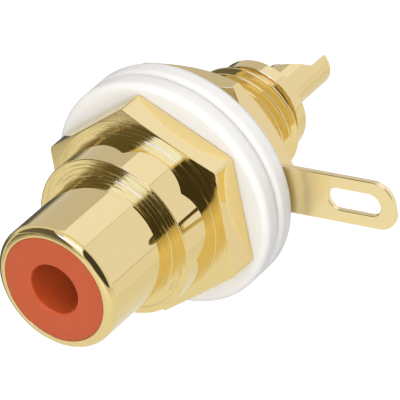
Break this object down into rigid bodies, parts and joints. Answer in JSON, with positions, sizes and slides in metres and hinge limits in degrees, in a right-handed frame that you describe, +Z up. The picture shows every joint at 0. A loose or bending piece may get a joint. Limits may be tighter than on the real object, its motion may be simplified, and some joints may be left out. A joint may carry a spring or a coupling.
{
  "type": "panel-mounting phono socket",
  "caption": "Gold-plated phono socket for a panel, with a hexagon flange, insulating washers, a nut, a solder tag and a solder cup.",
  "frame": {"origin": "on the socket's axis, in the plane of the panel's front face, which is the rear face of the front washer", "axes": "+Y along the socket's axis towards the wiring side, so a plug goes in along +Y; +Z up as in the picture; +X to the side the solder tag points to"},
  "size_m": [0.0223, 0.0283, 0.0152],
  "materials": {
    "gold_plate": "polished gold plate on brass",
    "red_plastic": "satin",
    "white_plastic": "satin"
  },
  "bodies": {
    "base": {"shell": "gold_plate", "front_insulator": "red_plastic", "centre_contact": "gold_plate", "rear_insulator": "white_plastic", "front_washer": "white_plastic"},
    "clamp": {"rear_washer": "white_plastic"},
    "tag": {"solder_tag": "gold_plate"},
    "nut": {"hex_nut": "gold_plate"}
  },
  "joints": [
    {"name": "clamp_slide", "type": "slide", "parent": "base", "child": "clamp", "axis": [0, 1, 0], "range_m": [0, 0.004]},
    {"name": "nut_turn", "type": "hinge", "parent": "clamp", "child": "nut", "pos_m": [0, 0.00293, 0], "axis": [0, 1, 0], "range_deg": [0, 1800]},
    {"name": "tag_swivel", "type": "hinge", "parent": "clamp", "child": "tag", "pos_m": [0, 0.00168, 0], "axis": [0, 1, 0], "continuous": true}
  ],
  "couplings": [
    {"joint": "nut_turn", "follows": "clamp_slide", "rad_per_m": 7854}
  ]
}
